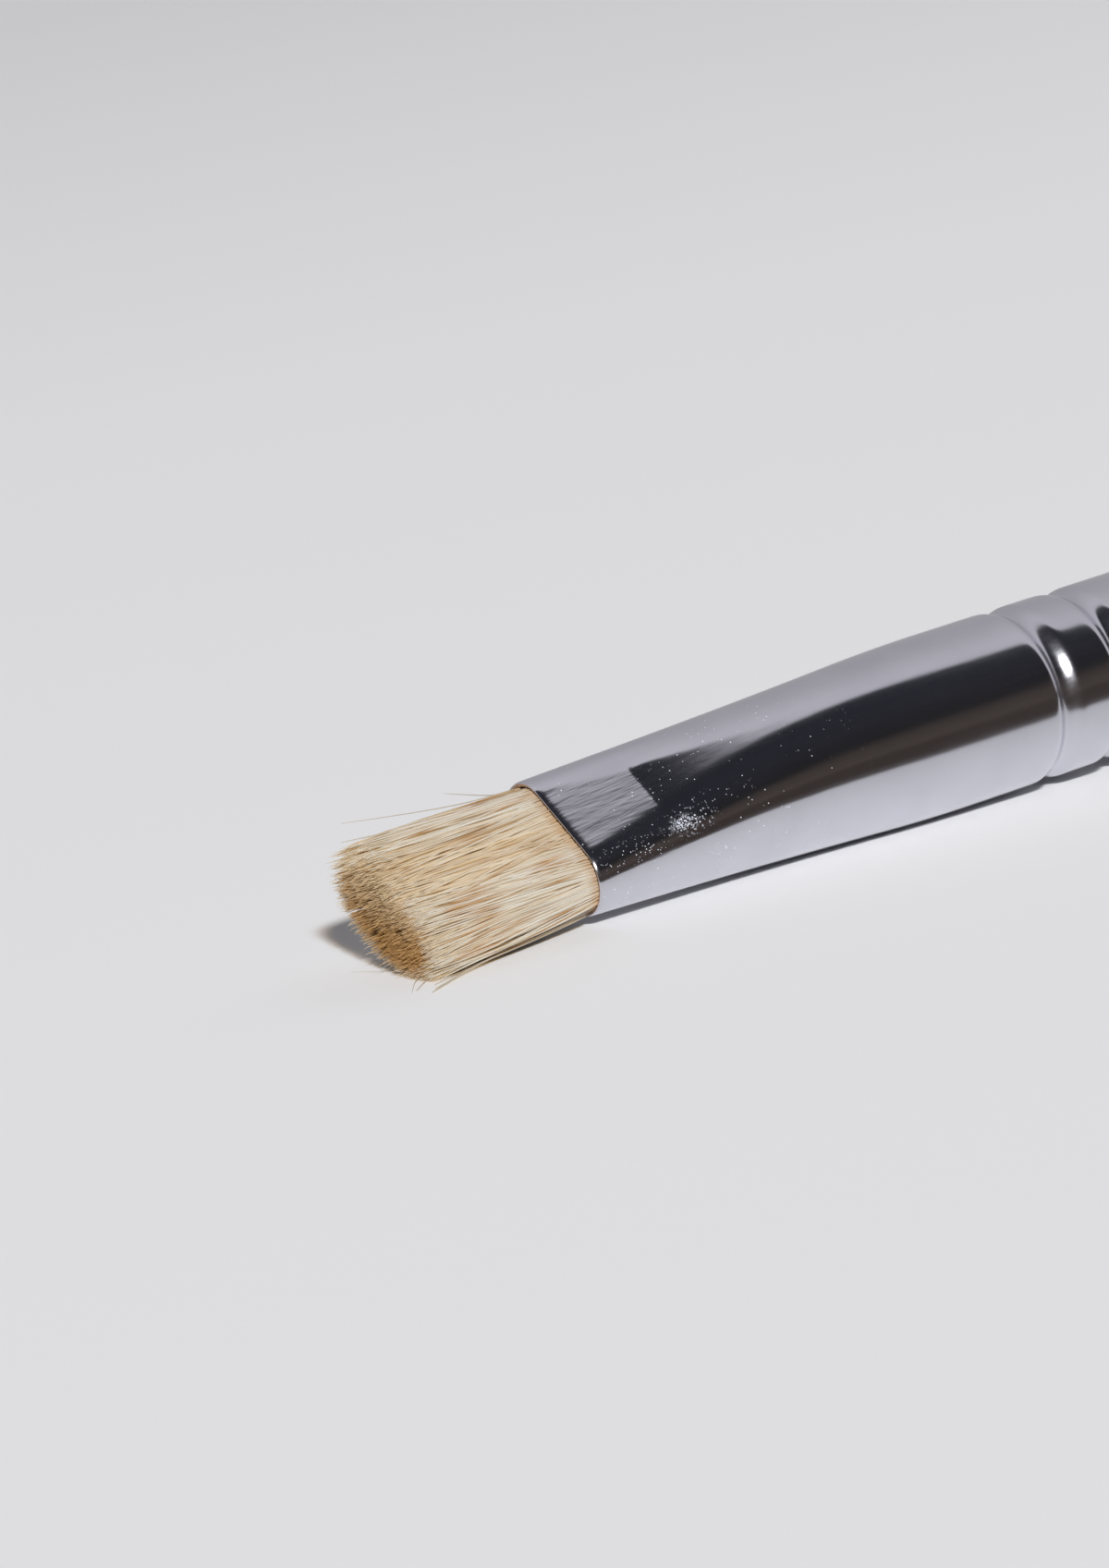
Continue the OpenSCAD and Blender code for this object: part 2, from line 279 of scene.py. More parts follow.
class Finish(Nodes):
    """A node material whose patterns follow the brush's own axes."""

    def __init__(self, name):
        self.material = bpy.data.materials.new(name)
        self.material.use_nodes = True
        super().__init__(self.material.node_tree)
        self.shader = self.tree.nodes["Principled BSDF"]

    def set(self, **values):
        for label, value in values.items():
            self.shader.inputs[label.replace("_", " ")].default_value = value

    def along_brush(self, stretch=1):
        """Places in millimetres in the brush's own axes. Stretch draws a pattern out along it."""
        turn = self.node("Mapping", vector_type="TEXTURE", Location=LIE_SHIFT, Rotation=LIE_TURN,
                         Scale=(MM * stretch, MM, MM))
        self.feed(self.node("TexCoord").outputs["Object"], turn.inputs["Vector"])
        return turn.outputs["Vector"]

    def noise(self, vector, scale, detail=3.0, roughness=0.5):
        made = self.node("TexNoise", Scale=scale, Detail=detail, Roughness=roughness)
        self.feed(vector, made.inputs["Vector"])
        return made.outputs["Fac"]

    def near(self, middle, reach):
        """1 around a place on the brush, falling to 0 at reach (x, y, z) from it."""
        away = self.node("Mapping", vector_type="TEXTURE", Location=middle, Scale=reach)
        self.feed(self.along_brush(), away.inputs["Vector"])
        size = self.node("VectorMath", operation="LENGTH")
        self.feed(away.outputs["Vector"], size.inputs[0])
        return self.soft_share(size.outputs["Value"], 1.0, 0.3)

    def specks(self, scale, size, share):
        """Small round specks in a share of the cells of a grid of the given scale."""
        cells = self.node("TexVoronoi", Scale=scale)
        self.feed(self.along_brush(), cells.inputs["Vector"])
        pick = self.node("SeparateColor")
        self.feed(cells.outputs["Color"], pick.inputs[0])
        grain = self.soft_share(cells.outputs["Distance"], size, size * 0.5)
        return self.times(grain, self.soft_share(pick.outputs[0], 1 - share, 1 - share + 0.02))

    def colour(self, output):
        self.feed(output, self.shader.inputs["Base Color"])

    def rough(self, output):
        self.feed(output, self.shader.inputs["Roughness"])

    def bump(self, height, depth_mm, after=None):
        """Relief of the given depth, on top of another one if that is given."""
        made = self.node("Bump", Distance=depth_mm * MM)
        self.feed(height, made.inputs["Height"])
        if after is not None:
            self.feed(after, made.inputs["Normal"])
        return made.outputs["Normal"]

    def relief(self, output):
        self.feed(output, self.shader.inputs["Normal"])

    def surface(self, shader):
        self.feed(shader.outputs[0], self.tree.nodes["Material Output"].inputs["Surface"])


def chromed_metal():
    f = Finish("bright_chrome")
    place = f.along_brush()
    from_mouth = f.axis(place, "X")
    plate = f.ramp(f.noise(place, 0.35, 2), (0.3, (0.63, 0.63, 0.69)), (0.7, (0.67, 0.67, 0.73)))

    # Dust over the pressed end and along the near edge, crowded and pale blue where the lamp's
    # glint falls: real dust and a painted glint
    cloud = f.soft_share(f.noise(place, 0.8, 2), 0.46, 0.6)
    dust_and_glint = f.times(f.specks(8.0, 0.28, 0.12), f.times(cloud, f.soft_share(from_mouth, 16, 9)))
    for middle, reach, scale, size, share in DUST_AND_GLINT_PATCHES:
        dust_and_glint = f.most(dust_and_glint, f.times(f.specks(scale, size, share), f.near(middle, reach)))
    f.feed(f.grey_range(dust_and_glint, 1.0, 0.0), f.shader.inputs["Metallic"])
    f.colour(f.blend(dust_and_glint, plate, DUST_AND_GLINT_TINT))

    # The tube was drawn through a die, and its polish isn't even
    drawn = f.noise(f.along_brush(14), 5.0, 4, 0.6)
    dull = f.ramp(f.share(from_mouth, 0, FERRULE_LEN),
                  *((x / FERRULE_LEN, (amount,) * 3) for x, amount in POLISH))
    f.rough(f.times(dull, f.grey_range(drawn, 0.7, 1.3)))
    streaks = f.bump(drawn, 0.0006)
    dents = f.bump(f.noise(f.along_brush(2.2), 0.9, 2), 0.003, after=streaks)

    # The press rubs the flat face and crumples the plate where it folds round the near edge
    rub = f.noise(f.along_brush(9), 1.7, 3, 0.55)
    rubbed = f.bump(f.times(rub, f.soft_share(from_mouth, 4.9, 4.3)), 0.0075, after=dents)
    crumple = f.noise(f.along_brush(1.3), 12.0, 3, 0.6)
    fold = f.times(crumple, f.near((5.0, -2.25, 1.85), (1.5, 0.8, 0.8)))
    f.relief(f.bump(fold, 0.03, after=rubbed))
    return f.material


def cut_edge_metal():
    f = Finish("cut_brass_edge")
    f.set(Metallic=1.0)
    grain = f.noise(f.along_brush(), 3.0, 3)
    f.colour(f.ramp(grain, (0.3, (0.50, 0.37, 0.30)), (0.7, (0.74, 0.61, 0.53))))
    f.rough(f.grey_range(grain, 0.34, 0.55))
    f.relief(f.bump(grain, 0.01))
    return f.material


def natural_bristle(name, shadow_loss):
    f = Finish(name)
    f.set(Specular_IOR_Level=0.3)
    tint = f.node("Attribute", attribute_name="bristle_tint").outputs["Color"]
    fleck = f.noise(f.along_brush(5), 2.2, 2)
    skin = f.ramp(fleck, (0.25, (0.92, 0.90, 0.86)), (0.7, (1.0, 1.0, 1.0)))
    f.colour(f.blend(1.0, tint, skin, "MULTIPLY"))
    f.rough(f.grey_range(fleck, 0.28, 0.42))
    f.relief(f.bump(f.noise(f.along_brush(2), 14, 2), 0.004))

    # Thin bristle lets warm light through, and the shadow it casts is thin and warm as well
    glow = f.ramp(fleck, (0.25, (0.96, 0.88, 0.73)), (0.7, (1.0, 0.95, 0.85)))
    through = f.node("BsdfTranslucent")
    f.feed(f.blend(1.0, tint, glow, "MULTIPLY"), through.inputs["Color"])
    lit = f.blend_shaders(BRISTLE_THROUGH, f.shader, through)
    shadow_ray = f.node("LightPath").outputs["Is Shadow Ray"]
    clear = f.node("BsdfTransparent", Color=SHADOW_TINT)
    f.surface(f.blend_shaders(f.grey_range(shadow_ray, 0.0, shadow_loss), lit, clear))
    return f.material


def waxed_thread():
    f = Finish("waxed_thread")
    f.set(Specular_IOR_Level=0.35, Sheen_Weight=0.3)
    strands = f.noise(f.along_brush(0.4), 6.0, 3)
    f.colour(f.ramp(strands, (0.25, (0.46, 0.40, 0.30)), (0.75, (0.74, 0.68, 0.55))))
    f.rough(f.grey_range(strands, 0.5, 0.75))
    f.relief(f.bump(strands, 0.05))
    return f.material


def cured_resin():
    f = Finish("cured_resin")
    f.set(Transmission_Weight=0.25, IOR=1.52)
    cloud = f.noise(f.along_brush(), 0.7, 3)
    f.colour(f.ramp(cloud, (0.3, (0.56, 0.38, 0.13)), (0.7, (0.78, 0.60, 0.28))))
    f.rough(f.grey_range(cloud, 0.12, 0.3))
    f.relief(f.bump(cloud, 0.05))
    return f.material


def glue_film():
    f = Finish("dried_wood_glue")
    cloud = f.noise(f.along_brush(), 1.3, 3)
    f.colour(f.ramp(cloud, (0.3, (0.76, 0.68, 0.47)), (0.7, (0.90, 0.85, 0.70))))
    f.rough(f.grey_range(cloud, 0.3, 0.5))
    f.relief(f.bump(cloud, 0.04))
    return f.material


def black_lacquer():
    f = Finish("black_gloss_lacquer")
    f.set(Coat_Weight=1.0, Coat_Roughness=0.04, Specular_IOR_Level=0.5)
    grain = f.noise(f.along_brush(9), 1.6, 5, 0.6)
    f.colour(f.ramp(grain, (0.3, (0.006, 0.006, 0.007)), (0.75, (0.016, 0.015, 0.016))))
    f.rough(f.grey_range(grain, 0.12, 0.22))
    orange_peel = f.noise(f.along_brush(1.3), 0.8, 2)
    f.relief(f.bump(orange_peel, 0.012, after=f.bump(grain, 0.003)))
    return f.material


def bare_tenon_wood():
    f = Finish("bare_birch")
    grain = f.noise(f.along_brush(16), 1.6, 5, 0.65)
    f.colour(f.ramp(grain, (0.3, (0.56, 0.38, 0.21)), (0.7, (0.74, 0.56, 0.36))))
    f.rough(f.grey_range(grain, 0.55, 0.75))
    f.relief(f.bump(grain, 0.03))
    return f.material


def table_surface():
    """Pale table, painted darker towards its far side; its near side is painted dark in reflections
    only.
    """
    f = Finish("pale_table")
    f.set(Specular_IOR_Level=0.2)
    place = f.node("TexCoord").outputs["Object"]
    away = f.axis(place, "Y")
    # Painted shade: the table darkens towards its far side, standing in for weaker light there
    f.colour(f.ramp(f.share(away, 0, 0.4), (0.0, (0.780, 0.783, 0.797)),
                    (0.35, (0.765, 0.768, 0.782)), (1.0, (0.665, 0.668, 0.680))))
    f.rough(f.grey_range(f.noise(place, 900.0, 2), 0.8, 0.9))
    # Painted shade seen only in reflections: glossy rays find the table's near side dark
    painted_reflected_shade = f.ramp(f.share(away, *NEAR_SHADE), (0.0, (1, 1, 1)), (0.34, (0.95, 0.95, 0.95)),
                  (0.44, (0.2, 0.2, 0.2)), (1.0, (0, 0, 0)))
    reflected = f.times(f.node("LightPath").outputs["Is Glossy Ray"], painted_reflected_shade)
    shade = f.node("BsdfDiffuse", Color=(0.060, 0.047, 0.041, 1))
    f.surface(f.blend_shaders(reflected, f.shader, shade))
    return f.material


# ---------- ferrule ----------


def eased(start, end, run, x):
    """Goes evenly from one size at the mouth, then eases into the other at the end of its run."""
    slope = 2 * (end - start) / (run + FLAT_LEN)
    if x < FLAT_LEN:
        return start + slope * x
    if x < run:
        return end - slope * (run - x) ** 2 / (2 * (run - FLAT_LEN))
    return end


def radius_at(x):
    dip = max([CRIMP_DEPTH * (1 + math.cos(2 * math.pi * (x - c) / CRIMP_W)) / 2
               for c in CRIMPS if abs(x - c) < CRIMP_W / 2] + [0])
    return eased(MOUTH_T, 2 * FERRULE_R, ROUND_LEN, x) / 2 - dip


def side_at(x):
    return eased(MOUTH_SIDE, 0, SIDE_LEN, x)


def eased_step(value, start, end):
    share = min(1, max(0, (value - start) / (end - start)))
    return share * share * (3 - 2 * share)


def press_depth(x, wide):
    """How deep the press sank the face: ever more up to its line, then running out behind it."""
    if x < PRESS_LINE:
        deep = PRESS_DEPTH * x / PRESS_LINE
    else:
        deep = PRESS_DEPTH * math.exp((PRESS_LINE - x) / PRESS_RUN_OUT)
    return deep * (1 - eased_step(wide, *PRESS_FADE))


def pressed_place(x, y, z, turned_in):
    """Where the press takes a point of the round tube: as far round the oblong, sunk in a face."""
    r, half = radius_at(x) - turned_in, side_at(x) / 2
    quarter = math.pi / 2 * r
    along = math.atan2(abs(z), abs(y)) / (math.pi / 2) * (half + quarter)
    if along < quarter:
        wide, high = half + r * math.cos(along / r), r * math.sin(along / r)
    else:
        wide, high = half + quarter - along, r
    return x, math.copysign(wide, y), math.copysign(high - press_depth(x, wide) * high / r, z)


def ring_places():
    """Distances from the mouth at which the ferrule has a ring."""
    places = [x for x, _ in LIP] + list(PRESSED_RINGS)
    places += list(np.linspace(PRESSED_RINGS[-1], ROUND_LEN, 25)[1:])
    places += list(np.linspace(ROUND_LEN, CRIMPS[0] - CRIMP_W / 2, 6)[1:])
    for c, following in zip(CRIMPS, (CRIMPS[1] - CRIMP_W / 2, FERRULE_LEN)):
        places += [c - CRIMP_W / 2 + CRIMP_W * k / 10 for k in range(1, 11)]
        places += list(np.linspace(c + CRIMP_W / 2, following, 5)[1:])
    return places


def pressed_ferrule():
    """A round tube is drawn ring by ring, then pressed flat towards the mouth."""
    deselect_all()
    bpy.ops.mesh.primitive_circle_add(vertices=RING_CORNERS, radius=FERRULE_R,
                                      rotation=(0, math.pi / 2, 0))
    tube = bpy.context.object
    bpy.ops.object.transform_apply(location=True, rotation=True, scale=True)
    tube.data.transform(Matrix.Rotation(math.pi / RING_CORNERS, 4, "X"))
    bpy.ops.object.mode_set(mode="EDIT")
    bpy.ops.mesh.select_all(action="SELECT")
    here = 0.0
    for x in ring_places()[1:]:
        bpy.ops.mesh.extrude_region_move(TRANSFORM_OT_translate={"value": (x - here, 0, 0)})
        here = x
    mesh = bmesh.from_edit_mesh(tube.data)
    for vertex in mesh.verts:
        turned_in = sum(inwards for x, inwards in LIP if abs(vertex.co.x - x) < 0.01)
        vertex.co = pressed_place(*vertex.co, turned_in)
    bmesh.update_edit_mesh(tube.data)
    bpy.ops.mesh.select_all(action="SELECT")
    bpy.ops.mesh.normals_make_consistent(inside=False)
    bpy.ops.object.mode_set(mode="OBJECT")

    smooth = tube.modifiers.new("smooth", "SUBSURF")
    smooth.levels = smooth.render_levels = 1
    metal = tube.modifiers.new("metal", "SOLIDIFY")
    metal.thickness, metal.offset, metal.use_even_offset = WALL, -1, True
    metal.material_offset_rim = 1
    edge = tube.modifiers.new("edge", "BEVEL")
    edge.width, edge.segments = EDGE_ROUND, 2
    edge.limit_method, edge.angle_limit = "ANGLE", math.radians(50)
    tube.data.materials.append(chromed_metal())
    tube.data.materials.append(cut_edge_metal())
    apply_modifiers(tube)
    bpy.ops.object.shade_smooth()
    finish_piece(tube, "ferrule_shell", "ferrule")


# ---------- bristles ----------

# Outline of the trimmed end, as [distance towards the far edge, height], once round, its middle,
# and its half width and half height, in which distances from that middle are counted
END_OUTLINE = ((3.25, -0.45), (2.95, 0.85), (1.5, 1.9), (0.2, 1.85), (-0.85, 1.75), (-1.9, 1.65),
               (-2.9, 1.4), (-3.7, 0.9), (-4.45, 0.55), (-4.25, -0.4), (-3.15, -1.45),
               (-1.4, -2.15), (0.5, -2.45), (2.6, -1.9))
END_MIDDLE = (-0.6, 0.05)
END_SPREAD = np.array([3.7, 1.75])

# Half the straight side of the bundle in the mouth, and the radius of its round ends
MOUTH_SECTION = (MOUTH_SIDE / 2, MOUTH_T / 2 - WALL - BUNDLE_GAP)

# Rings of a bristle: distances of the hidden ones from the mouth, and shares of its bent length
HIDDEN_RINGS = (BUNDLE_LEN - 0.1, TIE_START - 0.6)
FREE_RINGS = np.array([0.0, 0.06, 0.11, 0.25, 0.39, 0.53, 0.66, 0.78, 0.88, 0.95, 1.0])

# How wide a bristle is, how much wider inside the tuft, and its width at shares of its bent length
BRISTLE_WIDTHS = (0.070, 0.112)
INNER_WIDTH = 0.035
TAPER = ((0, 0.6, 0.8, 0.9, 0.96, 1), (1, 0.95, 0.78, 0.55, 0.34, 0.12))

# How far bristles wander across the tuft on their way out, alone and in locks, as shares of its
# reach. A few of the outer ones stand off it.
WANDER = 0.10
LOCK_WANDER = 0.11
ASTRAY_SHARE = 0.05
ASTRAY_REACH = (1.02, 1.10)

# Soft waves that neighbours share, as [number, turn from one bristle to the next, height], and
# how far each bristle bows, bends both ways and turns its tip
SOFT_WAVES = ((10, 1.8, 0.13), (14, 6.0, 0.09))
BOW = 0.08
DOUBLE_BEND = 0.03
TIP_TURN = 0.045

# Rows of a staggered grid stand closer than its columns by this, and each place is shaken
ROW_PITCH = 0.866
SHAKE = 0.36


def heading(angle):
    return np.c_[np.cos(angle), np.sin(angle)]


def reach_of(outline, middle, spread, angle):
    """How far an outline reaches from its middle at an angle, in units of spread."""
    away = (np.asarray(outline) - middle) / spread
    turn = np.arctan2(away[:, 1], away[:, 0])
    order = np.argsort(turn)
    return np.interp(angle, turn[order], np.hypot(*away.T)[order], period=2 * np.pi)


def mouth_outline():
    side, r = MOUTH_SECTION
    turn = np.linspace(0, 2 * np.pi, 240, endpoint=False)
    return np.c_[r * np.cos(turn) + np.where(np.cos(turn) > 0, side, -side), r * np.sin(turn)]


def packed_places(count, rng):
    """Evenly spread, slightly shaken places over the mouth, as [y, z] within the oblong."""
    side, r = MOUTH_SECTION
    area = 4 * side * r + math.pi * r * r
    pitch = math.sqrt(area / count / ROW_PITCH)
    rows = np.arange(-r, r + pitch, pitch * ROW_PITCH)
    cols = np.arange(-side - r, side + r + pitch, pitch)
    y, z = np.meshgrid(cols, rows)
    y = y + (np.arange(len(rows)) % 2)[:, None] * pitch / 2
    places = np.c_[y.ravel(), z.ravel()] + rng.uniform(-SHAKE, SHAKE, (y.size, 2)) * pitch
    over = np.maximum(np.abs(places[:, 0]) - side, 0)
    return places[np.hypot(over, places[:, 1]) < r]


def place_in_mouth(places):
    """How far out each place lies, from 0 in the mouth's middle to 1 at its wall, and which way."""
    side, r = MOUTH_SECTION
    spread = np.array([side + r, r])
    away = places / spread
    angle = np.arctan2(away[:, 1], away[:, 0])
    rho = np.hypot(*away.T) / reach_of(mouth_outline(), (0, 0), spread, angle)
    return np.minimum(rho, 1), angle


def aimed_ends(rho, angle, lock_of, lock_total, rng):
    """Bristles wander across one another, alone and in locks, and turn back at the outline.

    The aim is where a bristle heads for in a round tuft of reach 1, and the end is its place in
    the trimmed end.
    """
    aim = rho[:, None] * heading(angle)
    alone = rng.normal(0, WANDER, aim.shape)
    aim += alone + rng.normal(0, LOCK_WANDER, (lock_total, 2))[lock_of]
    out = np.hypot(aim[:, 0], aim[:, 1])
    out = np.where(out > 1, np.maximum(2 - out, 0.75), out)
    astray = (rng.uniform(0, 1, len(rho)) < ASTRAY_SHARE) & (rho > 0.8)
    out[astray] *= rng.uniform(*ASTRAY_REACH, astray.sum())
    turn = np.arctan2(aim[:, 1], aim[:, 0])
    reach = out * reach_of(END_OUTLINE, END_MIDDLE, END_SPREAD, turn)
    return aim, out, END_MIDDLE + reach[:, None] * heading(turn) * END_SPREAD


def trimmed_tips(aim, out, rng):
    """How far each bristle stands out: the cut is rounded, ragged, and shorter at the far edge."""
    count = len(aim)
    far_edge = np.clip(aim[:, 0] * 0.95 + aim[:, 1] * 0.25 - 0.2, 0, 1)
    spiky = rng.uniform(0, 1, count) < 0.3
    longer = rng.normal(0, 0.06, count) + rng.gamma(1.0, 0.06, count) - 0.12 - 0.22 * out**6
    shorter = np.where(spiky, rng.uniform(-0.8, 0.2, count), rng.uniform(0.1, 1.2, count))
    return -TUFT_LEN - longer + far_edge * shorter


def wave(places, rng, count, scale, along):
    """A smooth sideways drift shared by neighbouring bristles: (bristles, rings, 2)."""
    drift = np.zeros((len(places), len(along), 2))
    for _ in range(count):
        way = rng.normal(0, scale, 2)
        phase, turn = rng.uniform(0, 2 * np.pi, 2)
        swing = rng.uniform(0.4, 1.4)
        ripple = np.sin(along * swing * np.pi + turn)
        amount = np.sin(places @ way + phase)[:, None] * ripple[None, :]
        side = rng.uniform(0, 2 * np.pi)
        drift += amount[..., None] * [math.cos(side), math.sin(side)]
    return drift / math.sqrt(count)


def rested(paths):
    """Lifts whatever would sink into the table until it lies on it."""
    height = paths @ UP + LIE_SHIFT.z / MM
    return paths + np.maximum(TABLE_CLEARANCE - height, 0)[..., None] * UP


def bristle_paths(places, ends, tip_x, lock_of, lock_total, rng):
    """Each bristle from its bound root through the mouth to its tip: (bristles, rings, 3)."""
    side, r = MOUTH_SECTION
    hidden, free = len(HIDDEN_RINGS), FREE_RINGS
    paths = np.zeros((len(places), hidden + len(free), 3))
    paths[:, :hidden, 0] = HIDDEN_RINGS
    squeeze = np.array([(ROOT_SIDE / 2 + ROOT_R) / (side + r), ROOT_R / r]) * 0.97
    paths[:, :hidden, 1:] = (places * squeeze)[:, None, :]
    paths[:, hidden:, 0] = BEND_START + (tip_x - BEND_START)[:, None] * free
    across = paths[:, hidden:, 1:]
    swell = (free * (1.0 + 0.25 * (1 - free)))[:, None]
    across += places[:, None, :] + (ends - places)[:, None, :] * swell

    # Soft waves shared by neighbours, each bristle's own bow, and tips that bend their own way
    loose = np.clip((free - 0.04) / 0.96, 0, 1)[:, None]
    for count, scale, height in SOFT_WAVES:
        across += wave(places, rng, count, scale, free) * height * loose
    bow, bend = rng.normal(0, 1, (2, len(places), 1, 2))
    across += bow * BOW * np.sin(free * np.pi)[:, None]
    across += bend * DOUBLE_BEND * np.sin(free * 2 * np.pi)[:, None]
    turn = rng.normal(0, 1, (len(places), 1, 2))
    across += turn * TIP_TURN * np.clip((free - 0.72) / 0.28, 0, 1)[:, None] ** 2

    # The tips of a lock draw together
    tips = across[:, -1]
    gathered = np.zeros((lock_total, 2))
    for lock in np.unique(lock_of):
        gathered[lock] = tips[lock_of == lock].mean(0)
    pull = rng.uniform(0.0, 0.3, lock_total)[lock_of][:, None, None] * loose**3
    across += (gathered[lock_of] - tips)[:, None, :] * pull
    return rested(paths)


def bristle_widths(rho, rng):
    thick = rng.uniform(*BRISTLE_WIDTHS, len(rho)) + INNER_WIDTH * np.clip((0.85 - rho) / 0.2, 0, 1)
    return thick[:, None] * np.r_[np.ones(len(HIDDEN_RINGS)), np.interp(FREE_RINGS, *TAPER)]


def mix_colours(low, high, share):
    return np.asarray(low) * (1 - share[..., None]) + np.asarray(high) * share[..., None]


def bristle_tints(places, rho, aim, out, from_mouth, rng):
    """Cream bristles with some straw ones, painted warm light inside, painted shade in gaps, brown
    at the cut.
    """
    s = np.r_[np.zeros(len(HIDDEN_RINGS)), FREE_RINGS]
    base = mix_colours(CREAM, STRAW, np.clip(rng.normal(0.22, 0.22, len(places)), 0, 1))
    # Painted warm light: inner bristles are tinted deeper straw for the light that passes through
    # the tuft
    base = mix_colours(base, PAINTED_GLOW_STRAW, np.clip((0.94 - rho) / 0.2, 0, 1) * 0.85)
    tints = np.repeat(base[:, None, :], len(s), 1)

    # Painted shade: ochre dashes on outer bristles stand in for the warm shade in gaps between
    # locks
    gap_shade = np.zeros((len(places), len(s)))
    for one in rng.choice(np.flatnonzero(rho > 0.84), GAP_SHADE_SPOTS):
        middle, length = rng.uniform(0.12, 0.85), rng.uniform(0.04, 0.08)
        apart = ((places - places[one]) ** 2).sum(1) / rng.uniform(0.05, 0.10) ** 2
        spot = np.exp(-apart)[:, None] * np.exp(-((s - middle) / length) ** 2)[None, :]
        gap_shade = np.maximum(gap_shade, spot)
    tints = mix_colours(tints, GAP_SHADE_OCHRE, np.minimum(gap_shade * 1.3, 0.95))

    # Brown where they are cut, most of all low on the near side, partly the cut ends' own colour
    # and partly painted shade in the bundle; a thin brown line at the mouth is painted shadow
    depth = np.clip((0.96 - out) / 0.24, 0.03, 1) * np.clip((aim[:, 0] + 1.05) / 0.3, 0.1, 1)
    low = np.clip(0.64 - 0.72 * aim[:, 0] - 0.80 * aim[:, 1], 0.05, 1)
    cut_and_shade = np.clip((s - 0.85) / 0.12, 0, 1)[None, :] * (depth * low)[:, None]
    tints = mix_colours(tints, CUT_TAN_AND_SHADE, cut_and_shade * 0.9)
    # Painted shadow: a thin brown line where the bristles leave the mouth
    return mix_colours(tints, CUT_TAN_AND_SHADE, 0.55 * np.exp(-((from_mouth + 0.05) / 0.32) ** 2))


def bristle_mesh(paths, widths, tints):
    """One mesh of closed, tapered strands. Paths, widths and tints go ring by ring."""
    strands, rings = paths.shape[:2]
    sides = BRISTLE_SIDES
    corner = np.linspace(0, 2 * np.pi, sides, endpoint=False)
    turn = np.random.default_rng(5).uniform(0, 2 * np.pi, strands)[:, None] + corner[None, :]
    around = np.stack([np.zeros_like(turn), np.cos(turn), np.sin(turn)], -1)
    points = paths[:, :, None, :] + widths[:, :, None, None] / 2 * around[:, None, :, :]

    base = (np.arange(strands) * rings * sides)[:, None, None]
    ring = base + (np.arange(rings - 1) * sides)[None, :, None]
    i = np.arange(sides)[None, None, :]
    j = (i + 1) % sides
    walls = np.stack([ring + i, ring + j, ring + sides + j, ring + sides + i], -1).reshape(-1, 4)
    # Two four-sided faces close a strand of six sides
    cap = np.array([[0, 1, 2, 3], [0, 3, 4, 5]])
    roots = (base + cap[:, ::-1][None]).reshape(-1, 4)
    tips = (base + (rings - 1) * sides + cap[None]).reshape(-1, 4)
    faces = np.vstack([walls, roots, tips])

    mesh = bpy.data.meshes.new("bristles")
    mesh.vertices.add(points.size // 3)
    mesh.vertices.foreach_set("co", points.astype(np.float32).ravel())
    mesh.loops.add(faces.size)
    mesh.loops.foreach_set("vertex_index", faces.astype(np.int32).ravel())
    mesh.polygons.add(len(faces))
    mesh.polygons.foreach_set("loop_start", np.arange(0, faces.size, 4, dtype=np.int32))
    mesh.polygons.foreach_set("loop_total", np.full(len(faces), 4, np.int32))
    mesh.polygons.foreach_set("use_smooth", np.ones(len(faces), bool))
    mesh.update(calc_edges=True)
    mesh.validate()
    tint = mesh.color_attributes.new("bristle_tint", "FLOAT_COLOR", "POINT")
    colours = np.ones((strands, rings, sides, 4), np.float32)
    colours[..., :3] = tints[:, :, None, :]
    tint.data.foreach_set("color", colours.ravel())
    return mesh


def bristle_piece(name, paths, widths, tints, hair):
    piece = new_piece(name, bristle_mesh(paths, widths, tints))
    piece.data.materials.append(hair)
    finish_piece(piece, name, "bristle_tuft")


def tuft(inner_hair, hair):
    """The bristles are set in the mouth, aimed, cut and bent, and made up in four depths."""
    rng = np.random.default_rng(23)
    places = packed_places(BRISTLE_COUNT, rng)
    rho, angle = place_in_mouth(places)
    locks = packed_places(LOCK_COUNT, rng)
    lock_of = np.argmin(((places[:, None, :] - locks[None]) ** 2).sum(-1), 1)
    aim, out, ends = aimed_ends(rho, angle, lock_of, len(locks), rng)
    tip_x = trimmed_tips(aim, out, rng)
    paths = bristle_paths(places, ends, tip_x, lock_of, len(locks), rng)
    widths = bristle_widths(rho, rng)
    tints = bristle_tints(places, rho, aim, out, paths[..., 0], rng)
    for name, inside, outside, kind in (
            ("tuft_core", -1, 0.5, inner_hair), ("tuft_middle", 0.5, 0.71, inner_hair),
            ("tuft_outer", 0.71, 0.87, hair), ("tuft_skin", 0.87, 2, hair)):
        here = (rho > inside) & (rho <= outside)
        bristle_piece(name, paths[here], widths[here], tints[here], kind)


